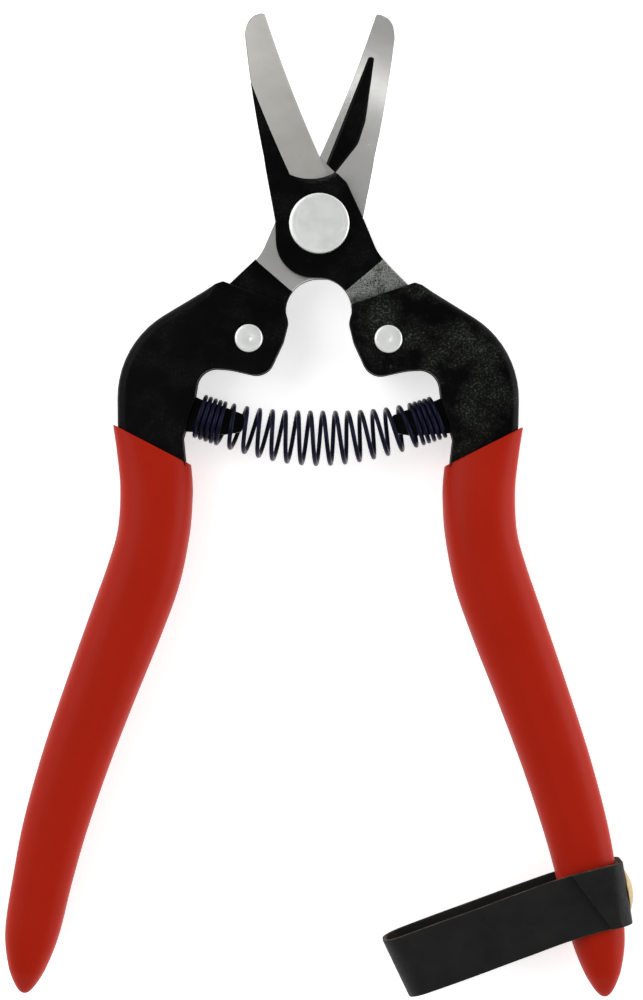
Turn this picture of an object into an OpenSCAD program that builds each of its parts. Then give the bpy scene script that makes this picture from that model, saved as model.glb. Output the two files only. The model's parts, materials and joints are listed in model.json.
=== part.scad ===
/* [Blades] */
// Thickness of each blade plate
blade_t = 2.4; // [2:0.1:2.6]
// Thickness left along the cutting edge
edge_t = 0.3; // [0.2:0.05:0.6]
// Width of the ground bevel, square to the cutting edge
bevel_w = 6.4; // [5:0.1:7]
// Radius of the upward curve of the blades
curve_r = 75; // [60:5:150]
// Distance from the pivot at which the curve starts
curve_start = 12; // [10:1:16]
// Gap between the two mating faces
blade_gap = 0.1; // [0.06:0.02:0.2]

/* [Pivot and rivets] */
// Radius of the pivot rivet's shank
pivot_r = 3; // [2.5:0.1:3.5]
// Radius of the pivot rivet's wide head
pivot_head_r = 5.4; // [4.8:0.1:6]
// Height of the pivot rivet's head
pivot_head_h = 1.4; // [1:0.1:2]
// Radial running clearance of the front blade on the rivet
pivot_clearance = 0.05; // [0.02:0.01:0.09]
// Radius of the tang rivets' shanks
tang_rivet_r = 1.6; // [1.2:0.1:2]
// Radius of the tang rivets' heads
tang_head_r = 2.5; // [2:0.1:3]

/* [Handles] */
// Thickness of the pressed sheet
sheet_t = 1.5; // [1.2:0.1:1.6]
// Thickness of a blade's tang between the plates
tang_t = 2.5; // [2:0.1:2.6]
// Thickness of a grip's side wall
grip_wall = 0.9; // [0.8:0.1:1.5]

/* [Spring] */
// Diameter of the spring wire
wire_d = 0.8; // [0.6:0.1:0.9]
// Number of open turns
open_turns = 14.2; // [12:0.2:15]
// Distance between open turns
open_pitch = 2.43; // [2:0.01:2.6]
// Number of tight turns over each horn
tight_turns = 4.9; // [3:0.1:5]
// Outer diameter of the coil at its middle
coil_d_mid = 10.1; // [9:0.1:11]
// Outer diameter of the coil over the horns
coil_d_end = 8; // [7.9:0.1:8.6]

/* [Strap] */
// Width of the strap
strap_w = 11; // [9:0.5:12]
// Thickness of the leather
strap_t = 1.2; // [1:0.1:1.4]
// Length of the free loop, from its hinge line to its fold
loop_l = 34.3; // [32:0.1:36]

/* [Hidden] */

$fn = 64;

// Length of cutting tools, longer than anything they cut through
cut_l = 60;

// Height of the middle plane above the table, and distance of the pivot in front of the centre
mid_z = 6.2;
pivot_y = 50.7;

// Levels measured from the middle plane
channel_gap = tang_t + 0.1;
channel_h = channel_gap + 2 * sheet_t;
blade_low = blade_gap / 2;
blade_high = blade_low + blade_t;

// Blade outline: a gently bowed cutting edge and spine, and a tip that is an elliptical corner
// between them. Below the shoulder the edge side runs out to the pivot eye.
blade_root_y = 10;
shoulder = [0.1, 12];
shoulder_slope = 0.72;
edge_slope = 0.455;
edge_bow = 0.0022;
edge_angle = 22;
spine_root_x = -8.2;
spine_slope = 0.152;
spine_bow = 0.4;
spine_bow_y = 24.5;
spine_bow_reach = 12.3;
tip_y = 37.1;
tip_round = [3.3, 3.95];
tip_round_y = 33.2;
blade_rows = 22;
bevel_share = 0.85;

// Circular cutaway between the two tangs
arch_centre = [0.1, -15.5];
arch_r = 5.8;

// Corners of a half's plates, each [x, y, corner radius], for the half whose handle is at +x.
// The step is the joggle between the pivot eye and the tang.
EYE_CORNERS = [[-9.72, blade_root_y, 0], [1.54, blade_root_y, 0], [4.9, 7.4, 1.2],
    [7.9, 1, 4], [10.6, -5.4, 8], [15.97, -10.68, 0], [5.4, -14.42, 0], [3, -9.7, 0],
    [-7.6, -9.7, 6.8], [-7.9, 0.5, 10]];
TANG_CORNERS = [[11.8, -6.5, 0], [16.6, -11.3, 0.5], [19.5, -13.6, 2], [19.2, -22.4, 3],
    [12.5, -25.4, 4], [7.6, -24.6, 1.5], [6.4, -17.6, 1], [6.1, -14.4, 0], [3.6, -12.4, 0]];
STEP_CORNERS = [[11.8, -6.5, 0], [15.97, -10.68, 0], [6, -14.2, 0], [3.6, -12.4, 0]];
LOBE_CORNERS = [[24.2, -38.6, 0], [22.1, -31.6, 0.6], [21.3, -25.9, 3.5], [16, -26.2, 12],
    [9.3, -27.7, 3.4], [6.3, -21.2, 4], [5.4, -17.6, 2.5], [5.9, -15.9, 1.2], [5.9, -14.4, 0.5],
    [15.8, -10.9, 1.2], [17.2, -10.4, 0.5], [18.6, -10.9, 0.8], [36.2, -21.6, 17.3], [36, -36, 0]];
HORN_CORNERS = [[28.5, -30.9, 1], [22.4, -31.2, 0.5], [20.9, -32, 0.5], [13.5, -34.3, 0.5],
    [13.1, -35.8, 1], [14, -37.3, 0.5], [17, -37.6, 2], [22.8, -37.1, 0.5], [28.5, -37, 1]];
tang_rivet_at = [12.5, -20.6];

// Inside of a channel, up to where it follows the grip
POCKET = [[20, -45], [2, -45], [2, -5], [17.2, -5], [17.2, -11.9], [18.4, -12.6], [30.5, -20.6],
    [33.4, -24], [34.6, -30], [34.6, -36]];
channel_root = [23.9, -41.5];
channel_clearance = 0.1;

// Turned details of the rivets
head_chamfer = [0.6, 0.4];
head_gap = 0.05;
washer_t = 1.2;
washer_inset = 0.2;
tail_r = [2.6, 3.6];
tail_h = 0.9;
tang_head_h = 0.5;
dimple_r = 0.65;
dimple_h = 0.3;

// Grip stations: outer edge [x, y], inner edge [x, y], half thickness
GRIP = [[[36.9, -36.1], [22.8, -43.3], 3.9], [[36.1, -41.5], [22.5, -46.4], 4.7],
    [[35.5, -47.7], [22.5, -49.8], 5.5], [[35.9, -55], [23, -56], 6.1],
    [[37.7, -61.5], [24.8, -65], 6.2], [[40.7, -70], [28.1, -74.3], 6.2],
    [[45, -82.4], [33.1, -86.8], 6], [[49.2, -95.2], [37.5, -98.4], 5.6],
    [[52.4, -107], [41.3, -109.8], 5.1], [[54.2, -116.5], [43.8, -118.8], 4.65],
    [[55.7, -127], [46.1, -128.2], 4.4], [[55, -134], [48.7, -134.7], 3.6],
    [[53.7, -137.5], [50.8, -137.7], 1.8]];
grip_sides = 24;
grip_roundness = 0.77;
rings_per_station = 2;
cavity_stations = 10;

// Spring: place of its middle, how its axis bows and where a turn crosses the top of the coil
spring_mid_y = -38.4;
spring_bow = 0.0085;
spring_phase = 0.37;
tight_pitch = wire_d + 0.12;
taper_reach = 20;
half_turns = open_turns / 2 + tight_turns;
wire_sides = 6;
steps_per_turn = 13;

// Strap: where it crosses the right grip, its directions and its hinge line
anchor_at = [54.6, -119.7];
anchor_angle = 11;
loop_angle = 21.3;
hinge_inset = 8;
strap_inner_h = 5;
strap_outer_h = strap_inner_h + strap_t;
strap_gap = 0.3;
anchor_fold_r = 4.2;
loop_fold_r = strap_outer_h - 0.3;
strap_rivet_r = 1.2;
strap_head_r = 4.1;
strap_head_h = 1.2;
shank_past_web = 0.8;
hinge_at = anchor_at - hinge_inset * [cos(anchor_angle), sin(anchor_angle)];

function flat(v) = [v.x, v.y];
function unit(v) = v / norm(v);
function mix(a, b, f) = a + (b - a) * f;
function signed_power(v, e) = sign(v) * pow(abs(v), e);
function turned(v, a) = [v.x * cos(a) - v.y * sin(a), v.x * sin(a) + v.y * cos(a)];

// The points that round the corner b between its neighbours a and c
function corner_points(a, b, c) =
    let (to_a = unit(flat(a) - flat(b)), to_c = unit(flat(c) - flat(b)), half = acos(to_a * to_c) / 2,
         start = flat(b) + to_a * b[2] / tan(half),
         centre = flat(b) + unit(to_a + to_c) * b[2] / sin(half),
         turn = sign(to_c.x * to_a.y - to_c.y * to_a.x) * (180 - 2 * half),
         steps = ceil(abs(turn) / 9))
    b[2] == 0 ? [flat(b)] : [for (i = [0:steps]) centre + turned(start - centre, turn * i / steps)];

function rounded_outline(corners) =
    let (n = len(corners))
    [for (i = [0:n - 1]) each corner_points(corners[(i + n - 1) % n], corners[i], corners[(i + 1) % n])];

// Faces of a closed tube whose rings have the same number of sides; a fan of triangles round a
// middle point closes each end
function tube_faces(rings, sides) = concat(
    [for (i = [0:sides - 1]) [rings * sides, i, (i + 1) % sides]],
    [for (k = [0:rings - 2], i = [0:sides - 1], half = [0, 1])
        let (a = k * sides + i, b = k * sides + (i + 1) % sides)
        half == 0 ? [a, a + sides, b] : [b, a + sides, b + sides]],
    [for (i = [0:sides - 1])
        let (k = (rings - 1) * sides)
        [rings * sides + 1, k + (i + 1) % sides, k + i]]);

function middle(ring) = [for (i = [0:len(ring) - 1]) 1] * ring / len(ring);

module tube(rings) {
    sides = len(rings[0]);
    points = concat([for (ring = rings) each ring], [middle(rings[0]), middle(rings[len(rings) - 1])]);
    polyhedron(points, tube_faces(len(rings), sides), convexity = 10);
}

// Smooth value through the stations p[1] and p[2]
function between(p, f) = 0.5 * (2 * p[1] + (p[2] - p[0]) * f
    + (2 * p[0] - 5 * p[1] + 4 * p[2] - p[3]) * f * f
    + (3 * p[1] - p[0] - 3 * p[2] + p[3]) * f * f * f);

function grip_station(s) =
    let (last = len(GRIP) - 1, k = min(floor(s), last - 1), f = s - k,
         four = [for (i = [k - 1:k + 2]) GRIP[max(0, min(last, i))]])
    [for (j = [0:2]) between([for (station = four) station[j]], f)];

function grip_edge(s, side, inset) =
    let (g = grip_station(s), across = unit(g[1 - side] - g[side]))
    g[side] + across * inset;

function grip_ring(s, inset, half_t) =
    let (a = grip_edge(s, 0, inset), b = grip_edge(s, 1, inset))
    [for (i = [0:grip_sides - 1])
        let (angle = 360 * i / grip_sides,
             p = mix(b, a, (1 + signed_power(cos(angle), grip_roundness)) / 2))
        [p.x, p.y, half_t * signed_power(sin(angle), grip_roundness)]];

// Square-cornered ring for the cavity, so that the channel fits in it
function cavity_ring(s, inset, half_t) =
    let (a = grip_edge(s, 0, inset), b = grip_edge(s, 1, inset))
    [for (i = [0:grip_sides - 1])
        let (angle = 360 * i / grip_sides, reach = max(abs(cos(angle)), abs(sin(angle))),
             p = mix(b, a, (1 + cos(angle) / reach) / 2))
        [p.x, p.y, half_t * sin(angle) / reach]];

module halfway(right) {
    translate([0, pivot_y, mid_z]) mirror([right ? 0 : 1, 0, 0]) children();
}

module plate(corners, low, high) {
    translate([0, 0, low]) linear_extrude(high - low) polygon(rounded_outline(corners));
}

module bore(at, r) {
    translate([at.x, at.y, 0]) cylinder(h = cut_l, r = r, center = true);
}

function curve_z(r) = r < curve_start ? 0 : curve_r - sqrt(curve_r * curve_r - pow(r - curve_start, 2));
function edge_x(y) = y < shoulder.y ? shoulder.x + (shoulder.y - y) * shoulder_slope
    : shoulder.x - edge_slope * (y - shoulder.y) + edge_bow * pow(y - shoulder.y, 2);
function bowed_spine_x(y) = spine_root_x - spine_slope * y
    - spine_bow * max(0, 1 - pow((y - spine_bow_y) / spine_bow_reach, 2));
function spine_x(y) = y < tip_round_y ? bowed_spine_x(y)
    : bowed_spine_x(tip_round_y)
        + tip_round.x * (1 - sqrt(1 - pow((y - tip_round_y) / tip_round.y, 2)));
function bevel_height(across) = mix(edge_t, blade_t, min(1, across * cos(edge_angle) / bevel_w));

// One cross-section of a blade: mating face from edge to spine, then the outer face back
function blade_section(y, outward) =
    let (x0 = edge_x(y), width = x0 - spine_x(y),
         bevel = min(bevel_w / cos(edge_angle), bevel_share * width),
         across = [for (f = [0, 0.25, 0.5, 0.75, 1]) f * bevel, (bevel + width) / 2, width],
         n = len(across))
    [for (k = [0:2 * n - 1])
        let (d = across[k < n ? k : 2 * n - 1 - k], x = x0 - d,
             lift = blade_low + (k < n ? 0 : bevel_height(d)))
        [x, y, curve_z(norm([x, y])) + outward * lift]];

// A blade with its pivot eye and its tang; outward is +1 for the front blade, -1 for the back one
module blade_body(outward, bore_r) {
    rows = [for (i = [0:blade_rows]) mix(blade_root_y, tip_y, sin(90 * i / blade_rows))];
    difference() {
        union() {
            tube([for (y = outward > 0 ? rows : [for (i = [blade_rows:-1:0]) rows[i]])
                blade_section(y, outward)]);
            plate(EYE_CORNERS, outward > 0 ? blade_low : -blade_high,
                outward > 0 ? blade_high : -blade_low);
            plate(TANG_CORNERS, -tang_t / 2, tang_t / 2);
            step_block(outward);
        }
        bore(arch_centre, arch_r);
        bore([0, 0], bore_r);
        bore(tang_rivet_at, tang_rivet_r);
    }
}

// The joggle that brings the tang down to the middle plane
module step_block(outward) {
    plate(STEP_CORNERS, outward > 0 ? -tang_t / 2 : -blade_high, outward > 0 ? blade_high : tang_t / 2);
}

module front_blade() {
    color("silver") halfway(true) blade_body(1, pivot_r + pivot_clearance);
}

module back_blade() {
    color("silver") halfway(false) blade_body(-1, pivot_r);
}

module pivot_rivet() {
    head_low = blade_high + head_gap;
    tail_high = -blade_high - washer_t;
    color("gainsboro") translate([0, pivot_y, mid_z]) {
        translate([0, 0, tail_high]) cylinder(h = head_low - tail_high, r = pivot_r);
        translate([0, 0, head_low]) cylinder(h = pivot_head_h - head_chamfer.y, r = pivot_head_r);
        translate([0, 0, head_low + pivot_head_h - head_chamfer.y])
            cylinder(h = head_chamfer.y, r1 = pivot_head_r, r2 = pivot_head_r - head_chamfer.x);
        translate([0, 0, tail_high - tail_h]) cylinder(h = tail_h, r1 = tail_r[0], r2 = tail_r[1]);
    }
}

module pivot_washer() {
    color("gainsboro") translate([0, pivot_y, mid_z]) difference() {
        translate([0, 0, -blade_high - washer_t]) cylinder(h = washer_t, r = pivot_head_r - washer_inset);
        bore([0, 0], pivot_r);
    }
}

function channel_outline() = concat(
    [for (s = [cavity_stations - 0.4:-0.5:0.6]) grip_edge(s, 1, grip_wall + channel_clearance)],
    [channel_root],
    rounded_outline(LOBE_CORNERS),
    [for (s = [0.3:0.5:cavity_stations - 0.7]) grip_edge(s, 0, grip_wall + channel_clearance)]);

// Inside of a channel: it leaves the web along the outer edge and is open along the inner edge
function pocket_outline() = concat(
    POCKET,
    [for (s = [0.3:0.5:cavity_stations - 0.2]) grip_edge(s, 0, grip_wall + channel_clearance + sheet_t)],
    [for (s = [cavity_stations - 0.4:-0.5:0.6]) grip_edge(s, 1, -1)]);

module channel(right) {
    color("#151517") halfway(right) difference() {
        linear_extrude(channel_h, center = true) polygon(channel_outline());
        linear_extrude(channel_gap, center = true) polygon(pocket_outline());
        bore(tang_rivet_at, tang_rivet_r);
        if (right) strap_rivet_place() strap_rivet_bore();
    }
}

module left_channel() { channel(false); }
module right_channel() { channel(true); }

module tang_rivet(right) {
    top = channel_h / 2 + tang_head_h;
    color("gainsboro") halfway(right) translate([tang_rivet_at.x, tang_rivet_at.y, 0]) difference() {
        union() {
            cylinder(h = channel_h, r = tang_rivet_r, center = true);
            for (low = [-top, channel_h / 2])
                translate([0, 0, low]) cylinder(h = tang_head_h, r = tang_head_r);
        }
        translate([0, 0, top - dimple_h]) cylinder(h = dimple_h, r1 = dimple_r / 2, r2 = dimple_r);
    }
}

module left_tang_rivet() { tang_rivet(false); }
module right_tang_rivet() { tang_rivet(true); }

module spring_horn(right) {
    color("#151517") halfway(right) plate(HORN_CORNERS, -tang_t / 2, tang_t / 2);
}

module left_spring_horn() { spring_horn(false); }
module right_spring_horn() { spring_horn(true); }

// Points on the spring's bowed axis, v turns to the right of its middle
function coil_x(v) = sign(v) * (min(abs(v), open_turns / 2) * open_pitch
    + max(0, abs(v) - open_turns / 2) * tight_pitch);
function spring_axis(v) = [coil_x(v), spring_mid_y + spring_bow * pow(coil_x(v), 2)];
function coil_r(v) =
    let (f = min(1, abs(coil_x(v)) / taper_reach))
    (mix(coil_d_mid, coil_d_end, f * f * (3 - 2 * f)) - wire_d) / 2;
function coil_point(v) =
    let (c = spring_axis(v), angle = 360 * (v - spring_phase), r = coil_r(v),
         slope = atan(2 * spring_bow * c.x))
    [c.x - r * sin(slope) * cos(angle), c.y + r * cos(slope) * cos(angle), r * sin(angle)];
function wire_ring(v) =
    let (step = 0.5 / steps_per_turn, here = coil_point(v),
         along = unit(coil_point(v + step) - coil_point(v - step)),
         c = spring_axis(v), out = unit(here - [c.x, c.y, 0]),
         side = unit(cross(along, out)), up = cross(side, along))
    [for (i = [0:wire_sides - 1]) here + wire_d / 2 * (up * cos(360 * i / wire_sides)
        + side * sin(360 * i / wire_sides))];

module return_spring() {
    steps = round(2 * half_turns * steps_per_turn);
    color("#23252e") translate([0, pivot_y, mid_z])
        tube([for (i = [0:steps]) wire_ring(half_turns * (2 * i / steps - 1))]);
}

module grip(right) {
    last = len(GRIP) - 1;
    inside = [for (s = [cavity_stations:-1:0]) cavity_ring(s, grip_wall, channel_h / 2 + channel_clearance)];
    outside = [for (i = [0:last * rings_per_station])
        let (s = i / rings_per_station) grip_ring(s, 0, grip_station(s)[2])];
    color("#b02a14") halfway(right) tube(concat(inside, outside));
}

module left_grip() { grip(false); }
module right_grip() { grip(true); }

// Side view of a band that doubles back around a rounded end at x = reach
module band_side(reach, half_h, r) {
    translate([-cut_l, -half_h]) square([cut_l + reach - r, 2 * half_h]);
    translate([0, r - half_h]) square([reach, 2 * (half_h - r)]);
    for (side = [-1, 1]) translate([reach - r, side * (half_h - r)]) circle(r);
}

module folded_band(reach, r) {
    rotate([90, 0, 0]) linear_extrude(strap_w, center = true) difference() {
        band_side(reach, strap_outer_h, r);
        band_side(reach - strap_t, strap_inner_h, r - strap_t);
    }
}

// Everything on the +x side of the hinge line
module past_hinge() {
    translate([0, -cut_l / 2, -cut_l / 2]) cube(cut_l);
}

// Local frame on the hinge line, +x towards the fold
module strap_place(angle) {
    translate([hinge_at.x, hinge_at.y + pivot_y, mid_z]) rotate([0, 0, angle]) children();
}

// Local frame on the strap's outer face over the handle's outer edge, +z outwards
module strap_rivet_place() {
    translate([hinge_at.x, hinge_at.y, 0]) rotate([0, 0, anchor_angle])
        translate([hinge_inset + strap_gap + strap_t, 0, 0]) rotate([0, 90, 0]) children();
}

module strap_rivet_bore() {
    translate([0, 0, -hinge_inset]) cylinder(h = hinge_inset + 1, r = strap_rivet_r);
}

module strap_anchor() {
    color("#1a1a1c") difference() {
        strap_place(anchor_angle) difference() {
            intersection() {
                folded_band(hinge_inset + strap_gap + strap_t, anchor_fold_r);
                past_hinge();
            }
            bore([0, 0], strap_w / 2 + strap_gap);
        }
        translate([0, pivot_y, mid_z]) strap_rivet_place() strap_rivet_bore();
    }
}

module strap_loop() {
    color("#1a1a1c") strap_place(180 + loop_angle) intersection() {
        folded_band(loop_l, loop_fold_r);
        union() {
            bore([0, 0], strap_w / 2);
            past_hinge();
        }
    }
}

// The rivet reaches through the strap, the grip's wall and the channel's web
module strap_rivet() {
    dome_r = (strap_head_r * strap_head_r + strap_head_h * strap_head_h) / (2 * strap_head_h);
    shank_l = strap_t + strap_gap + grip_wall + sheet_t + shank_past_web;
    color("#a8813a") translate([0, pivot_y, mid_z]) strap_rivet_place() {
        intersection() {
            translate([0, 0, strap_head_h - dome_r]) sphere(dome_r);
            cylinder(h = strap_head_h, r = strap_head_r);
        }
        translate([0, 0, -shank_l]) cylinder(h = shank_l + strap_head_h / 2, r = strap_rivet_r);
    }
}

front_blade();
back_blade();
pivot_rivet();
pivot_washer();
left_channel();
right_channel();
left_tang_rivet();
right_tang_rivet();
left_spring_horn();
right_spring_horn();
return_spring();
left_grip();
right_grip();
strap_anchor();
strap_loop();
strap_rivet();
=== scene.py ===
import json
import math

import bmesh
import bpy
import numpy as np
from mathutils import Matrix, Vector
from mathutils.geometry import delaunay_2d_cdt


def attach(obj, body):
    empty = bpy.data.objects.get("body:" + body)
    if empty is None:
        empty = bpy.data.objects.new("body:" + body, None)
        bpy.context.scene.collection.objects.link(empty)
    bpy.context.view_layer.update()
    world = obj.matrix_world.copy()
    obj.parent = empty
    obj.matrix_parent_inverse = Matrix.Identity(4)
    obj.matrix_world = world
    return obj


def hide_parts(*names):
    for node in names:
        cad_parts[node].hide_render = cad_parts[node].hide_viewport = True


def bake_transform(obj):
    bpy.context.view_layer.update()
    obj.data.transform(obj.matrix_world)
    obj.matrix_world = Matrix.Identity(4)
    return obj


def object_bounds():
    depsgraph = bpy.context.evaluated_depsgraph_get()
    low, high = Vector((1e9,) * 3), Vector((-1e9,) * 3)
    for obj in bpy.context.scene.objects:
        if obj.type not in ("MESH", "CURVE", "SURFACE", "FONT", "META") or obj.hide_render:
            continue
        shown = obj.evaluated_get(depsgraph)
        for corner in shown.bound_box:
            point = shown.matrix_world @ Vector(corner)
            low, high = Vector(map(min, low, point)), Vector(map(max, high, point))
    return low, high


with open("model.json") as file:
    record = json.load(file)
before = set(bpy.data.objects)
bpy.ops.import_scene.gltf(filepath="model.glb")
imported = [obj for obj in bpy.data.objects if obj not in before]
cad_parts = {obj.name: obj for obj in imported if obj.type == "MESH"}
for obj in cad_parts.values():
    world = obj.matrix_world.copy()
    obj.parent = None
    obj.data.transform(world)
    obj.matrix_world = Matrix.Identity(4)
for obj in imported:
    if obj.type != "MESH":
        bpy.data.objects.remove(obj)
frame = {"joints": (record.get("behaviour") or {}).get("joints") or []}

CAD_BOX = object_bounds()
MM = 0.001

# Lengths below are in millimetres, measured from the pivot axis and the middle plane of the
# channels, for the half whose handle is at +x. The other half is its mirror image.
JOINTS = {joint["name"]: joint for joint in frame["joints"]}
PIVOT = Vector(JOINTS["blade_pivot"]["pos_m"])
SWING = Vector(JOINTS["strap_swing"]["pos_m"])

# Middle of the object, at which the camera and the lights are aimed
CENTRE = PIVOT + Vector((0.7, -49.5, 0)) * MM

# Angle between the points that round a corner
CORNER_STEP = math.radians(6)

# Blades. EDGE_LEAN is how far the bevel's border and the grinding marks lean; CURVE_R and
# CURVE_START are the radius and the start of the upward curve; the ARCH is cut out below the eye.
BLADE_T = 2.4
EDGE_T = 0.3
BEVEL_W = 6.4
EDGE_LEAN = math.radians(22)
EDGE_FOOT = (0.1, 12)
EDGE_SLOPE = 0.455
EDGE_BEND = 0.0022
SPINE_X = -8.2
SPINE_SLOPE = 0.152
SPINE_BOW = 0.4
SPINE_BOW_Y = 24.5
SPINE_BOW_REACH = 12.3
CURVE_R = 75
CURVE_START = 12
BLADE_LOW = 0.05
BLADE_ROOT_Y = 10
TIP_Y = 37.1
TIP_ROUND = (3.3, 3.95)
TIP_ROUND_Y = 33.2
ARCH_CENTRE = (0.1, -15.5)
ARCH_R = 5.8
ARCH_FOOT_Y = -16.1
BORE_R = 3.05
RIM_W = 0.12

# Ground bevel: its lower border is a parabola, and above GROUND_ALL_Y it takes the whole width
GROUND_LOW_AT = (-2, 8.13)
GROUND_LOW_BEND = 0.058
GROUND_ALL_Y = 25.7
GROUND_WALL_Y = 8.5
RUN_OUT = 0.9

# Hollow in the mating face of the back blade
HOLLOW_DEPTH = 0.35
HOLLOW_EASE = 0.45

# Materials of the blade's faces, as places in its list
BARE, COATED, RUBBED = 0, 1, 2

# Spacing of the blade's points, across and along, and their least distance from a border
GRID = (0.62, 0.54)
GRID_CLEAR = 0.25

# Channels
SHEET_T = 1.5
TANG_T = 2.5
CHANNEL_GAP = TANG_T + 0.1
CHANNEL_H = CHANNEL_GAP + 2 * SHEET_T
BEND_R = 1.7
LIP_R = 0.3
TANG_RIVET_AT = (12.5, -20.6)

# The folded web, which is round, lies beyond these limits; its outer limit leans below WEB_BEND_Y
WEB_INNER_X = 19.4
WEB_INNER_LINE = ((19, -24), (31, -40))
WEB_OUTER_X = 34.3
WEB_BEND_Y = -40
WEB_OUTER_LEAN = 0.18

# Corners of the plates, each (x, y, corner radius)
EYE_CORNERS = [(4.9, 7.4, 1.2), (7.9, 1, 4), (10.6, -5.4, 8)]
TANG_CORNERS = [(16.6, -11.3, 0.5), (19.5, -13.6, 2), (19.2, -22.4, 3), (12.5, -25.4, 4),
                (7.6, -24.6, 1.5), (6.4, -17.6, 1)]
HEEL_CORNERS = [(-7.6, -9.7, 6.8), (-7.9, 0.5, 10)]
STEP_TOP = ((5.3, -11.6), (11.4, -6.4))
STEP_FOOT = ((6.9, -14.1), (15.8, -10.9))
HOLLOW_CORNERS = [(-8.65, 29.9, 0.4), (-9.7, 29.9, 0.4), (-8.2, 18.6, 5), (-6.9, 14.6, 3),
                  (-1.9, 8.2, 0.5), (-0.2, 8.6, 0.5)]
LOBE_CORNERS = [(24.2, -38.6, 0), (22.1, -31.6, 0.6), (21.3, -25.9, 3.5), (16, -26.2, 12),
                (9.3, -27.7, 3.4), (6.3, -21.2, 4), (5.4, -17.6, 2.5), (5.9, -15.9, 1.2),
                (5.9, -14.4, 0.5), (15.8, -10.9, 1.2), (17.2, -10.4, 0.5), (18.6, -10.9, 0.8),
                (36.2, -21.6, 17.3), (36, -36, 0)]
HORN_CORNERS = [(28.5, -30.7, 1), (22.4, -30.9, 0.6), (20.9, -31.6, 1), (17.4, -32.65, 3),
                (13.4, -34.2, 0.6), (13, -35.8, 1), (13.9, -37.4, 0.6), (17, -37.9, 3),
                (22.8, -37.4, 0.5), (28.5, -37.2, 1)]

# Grip stations: outer edge (x, y), inner edge (x, y), half thickness
GRIP = [(36.9, -36.1, 22.8, -43.3, 3.9), (36.1, -41.5, 22.5, -46.4, 4.7),
        (35.5, -47.7, 22.5, -49.8, 5.5), (35.9, -55, 23, -56, 6.1),
        (37.7, -61.5, 24.8, -65, 6.2), (40.7, -70, 28.1, -74.3, 6.2),
        (45, -82.4, 33.1, -86.8, 6), (49.2, -95.2, 37.5, -98.4, 5.6),
        (52.4, -107, 41.3, -109.8, 5.1), (54.2, -116.5, 43.8, -118.8, 4.65),
        (55.7, -127, 46.1, -128.2, 4.4), (55, -134, 48.7, -134.7, 3.6),
        (53.7, -137.5, 50.8, -137.7, 1.8)]
GRIP_TIP = (52.3, -138.55)
GRIP_WALL = 0.9
CHANNEL_INSET = GRIP_WALL + 0.1
GRIP_SIDES = 72
GRIP_ROUNDNESS = 0.77
CAVITY_STATIONS = 10

# Mouth of a grip, from its cavity to its outside: station, inset from the edges, drop in thickness
GRIP_MOUTH = ((0.04, 0.75, 0.75), (0.01, 0.5, 0.45), (0, 0.3, 0.25), (0.015, 0.12, 0.1),
              (0.05, 0.03, 0.03))

# Pivot: thickness and radius of the washer, its bore, and the gap under the rivet's head
WASHER_T = 1.2
WASHER_R = 5.2
WASHER_BORE_R = 3.02
HEAD_GAP = 0.05
SHANK_R = 3

# Spring. SPRING_BOW is how fast its axis bends away from the pivot; TAPER_REACH is where the coil
# has narrowed to COIL_D_END.
WIRE_D = 0.8
OPEN_TURNS = 14.2
OPEN_PITCH = 2.43
TIGHT_TURNS = 4.9
TIGHT_PITCH = 0.92
COIL_D_MID = 10.1
COIL_D_END = 8.1
SPRING_MID_Y = -38.4
SPRING_BOW = 0.0085
SPRING_PHASE = 0.37
TAPER_REACH = 20

# Strap. Stations run from the grip's outer edge inwards. STRAP_CUT is the station of the cut end
# and its skew. The angle tables hold stations, then degrees, along the strap and across it.
STRAP_W = 11.2
STRAP_T = 0.7
STRAP_Z = 4.62
STRAP_OUTER_FACE = -1.45
LOOP_L = 34.3
HINGE_INSET = 8
STRAP_DROP = 0.35
STRAP_CUT = (5.2, 0.45)
STRAP_LINE_ANGLES = ((0, 8, 14, 44), (12, 17, 20.5, 20.5))
STRAP_ACROSS_ANGLES = ((0, 8, 25, 44), (9.5, 14, 19, 26.5))
STRAP_CORNER_R = 0.22
STRAP_HEAD_R = 4.1
STRAP_HEAD_H = 1.2
STRAP_SHANK = (1.2, 5.2)


# ---------------------------------------------------------------- outlines

def unit(v):
    return v / np.linalg.norm(v)


def turned(v, angle):
    c, s = math.cos(angle), math.sin(angle)
    return np.array([v[0] * c - v[1] * s, v[0] * s + v[1] * c])


def corner_points(a, b, c):
    """The points that round corner b, which lies between corners a and c."""
    p = np.array(b[:2], float)
    if b[2] == 0:
        return [p]
    to_a, to_c = unit(np.array(a[:2]) - p), unit(np.array(c[:2]) - p)
    half = math.acos(np.clip(to_a @ to_c, -1, 1)) / 2
    start = p + to_a * b[2] / math.tan(half)
    centre = p + unit(to_a + to_c) * b[2] / math.sin(half)
    turn = math.copysign(math.pi - 2 * half, to_c[0] * to_a[1] - to_c[1] * to_a[0])
    steps = max(2, math.ceil(abs(turn) / CORNER_STEP))
    return [centre + turned(start - centre, turn * i / steps) for i in range(steps + 1)]


def rounded_outline(corners):
    after = corners[1:] + corners[:1]
    before = corners[-1:] + corners[:-1]
    return [p for a, b, c in zip(before, corners, after) for p in corner_points(a, b, c)]


def area_of(points):
    p = np.asarray(points)
    q = np.roll(p, -1, 0)
    return float((p[:, 0] * q[:, 1] - q[:, 0] * p[:, 1]).sum() / 2)


def resampled(points, spacing, closed=True):
    """Points at equal spacing along the line, which is walked counter-clockwise when closed."""
    p = np.asarray(points, float)
    if closed:
        if area_of(p) < 0:
            p = p[::-1]
        p = np.vstack([p, p[:1]])
    run = np.concatenate([[0], np.cumsum(np.linalg.norm(np.diff(p, axis=0), axis=1))])
    count = max(3, round(run[-1] / spacing))
    at = np.linspace(0, run[-1], count, endpoint=not closed)
    return np.column_stack([np.interp(at, run, p[:, k]) for k in range(p.shape[1])])


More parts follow.
